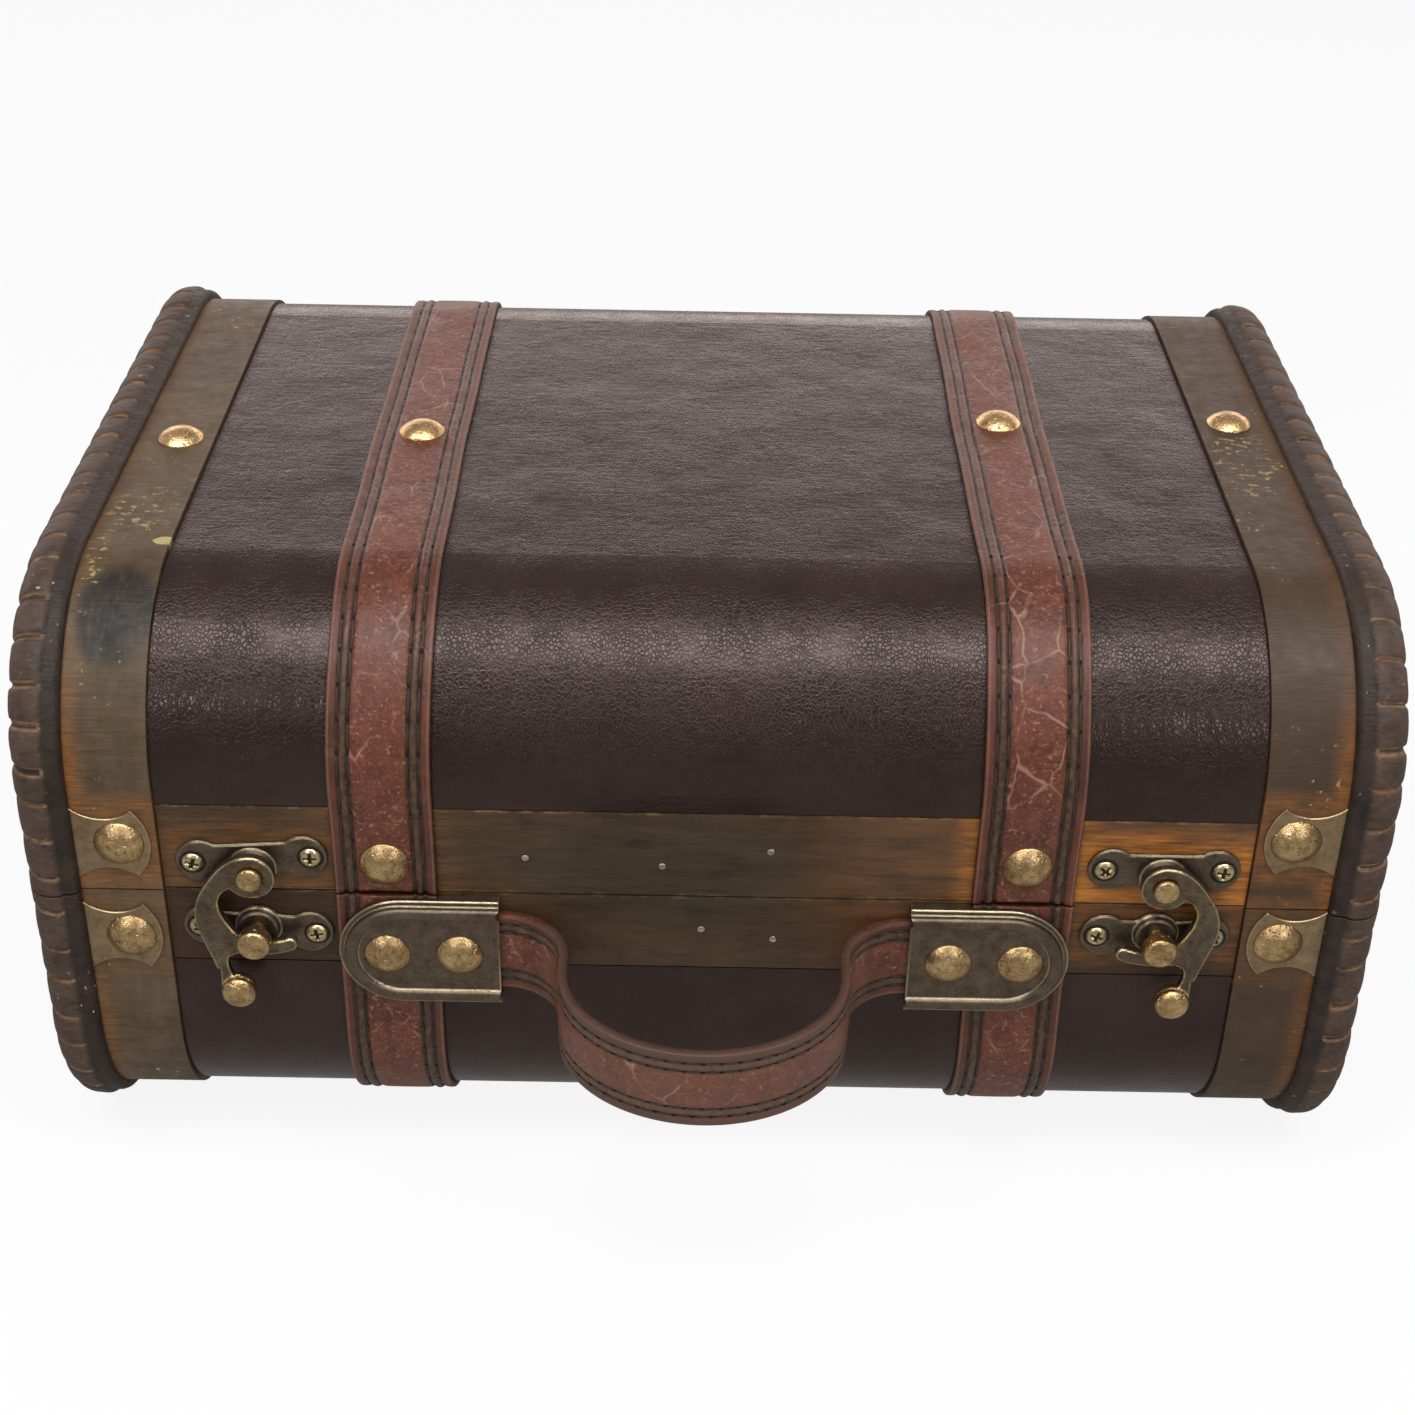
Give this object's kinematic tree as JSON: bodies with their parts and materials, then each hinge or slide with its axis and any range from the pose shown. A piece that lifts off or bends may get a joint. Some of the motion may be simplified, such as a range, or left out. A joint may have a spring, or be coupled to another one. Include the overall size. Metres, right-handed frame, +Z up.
{
  "type": "suitcase box",
  "caption": "Small wooden case with rounded sides, carved end boards, leather straps, swing hook latches, a carrying handle and a hinged lid.",
  "frame": {"origin": "on the plane that the case stands on, under the middle of its whole outline with the handle and the hinges, which is 19.5 mm in front of the case's own middle", "axes": "+X right along the length seen from the front, +Y to the back with the hinges, +Z up; the handle is at -Y"},
  "size_m": [0.3, 0.257, 0.151],
  "materials": {
    "case_board": "thin bent board, dark stained",
    "carved_wood": "dark stained, worn to orange in the notches",
    "stained_wood": "olive brown stain, orange at the edges, satin lacquer",
    "leatherette": "dark brown grained leatherette, semi gloss",
    "strap_leather": "red brown waxed leather, stitched",
    "lining_cloth": "thin brown cloth",
    "aged_brass": "antique brass, bright on worn edges",
    "brass_domes": "antique brass, brushed and pitted",
    "brass_screws": "brass with a dark cross"
  },
  "bodies": {
    "base": {"base_back_rail": "stained_wood", "base_band_left": "stained_wood", "base_band_right": "stained_wood", "base_corner_plate_left": "aged_brass", "base_corner_plate_right": "aged_brass", "base_dome_nails": "brass_domes", "base_end_left": "carved_wood", "base_end_right": "carved_wood", "base_front_rail": "stained_wood", "base_hinge_leaf_left": "aged_brass", "base_hinge_leaf_right": "aged_brass", "base_hinge_screws": "brass_screws", "base_leatherette": "leatherette", "base_lining": "lining_cloth", "base_shell": "case_board", "base_strap_left": "strap_leather", "base_strap_right": "strap_leather", "catch_plate_left": "aged_brass", "catch_plate_right": "aged_brass", "catch_post_left": "aged_brass", "catch_post_right": "aged_brass", "catch_screws": "brass_screws", "handle_end_left": "strap_leather", "handle_end_right": "strap_leather", "handle_plate_left": "aged_brass", "handle_plate_right": "aged_brass", "handle_rivets": "brass_domes", "hinge_pin_left": "aged_brass", "hinge_pin_right": "aged_brass"},
    "lid": {"latch_pivot_left": "aged_brass", "latch_pivot_right": "aged_brass", "latch_plate_left": "aged_brass", "latch_plate_right": "aged_brass", "latch_screws": "brass_screws", "lid_back_rail": "stained_wood", "lid_band_left": "stained_wood", "lid_band_right": "stained_wood", "lid_corner_plate_left": "aged_brass", "lid_corner_plate_right": "aged_brass", "lid_dome_nails": "brass_domes", "lid_end_left": "carved_wood", "lid_end_right": "carved_wood", "lid_front_rail": "stained_wood", "lid_hinge_leaf_left": "aged_brass", "lid_hinge_leaf_right": "aged_brass", "lid_hinge_screws": "brass_screws", "lid_leatherette": "leatherette", "lid_lining": "lining_cloth", "lid_shell": "case_board", "lid_strap_left": "strap_leather", "lid_strap_right": "strap_leather"},
    "left_hook": {"latch_hook_left": "aged_brass"},
    "right_hook": {"latch_hook_right": "aged_brass"},
    "handle": {"handle_strap": "strap_leather"}
  },
  "joints": [
    {"name": "lid_hinge", "type": "hinge", "parent": "base", "child": "lid", "pos_m": [0, 0.1263, 0.08154], "axis": [-1, 0, 0], "range_deg": [0, 105]},
    {"name": "left_hook_swing", "type": "hinge", "parent": "lid", "child": "left_hook", "pos_m": [-0.0996, -0.0865, 0.08834], "axis": [0, 1, 0], "range_deg": [0, 75]},
    {"name": "right_hook_swing", "type": "hinge", "parent": "lid", "child": "right_hook", "pos_m": [0.1006, -0.0865, 0.08954], "axis": [0, -1, 0], "range_deg": [0, 75]},
    {"name": "handle_swing", "type": "hinge", "parent": "base", "child": "handle", "pos_m": [0, -0.1025, 0.06694], "axis": [-1, 0, 0], "range_deg": [-25, 45], "stiffness_Nm_per_rad": 0.03, "springref_deg": 1.72}
  ]
}
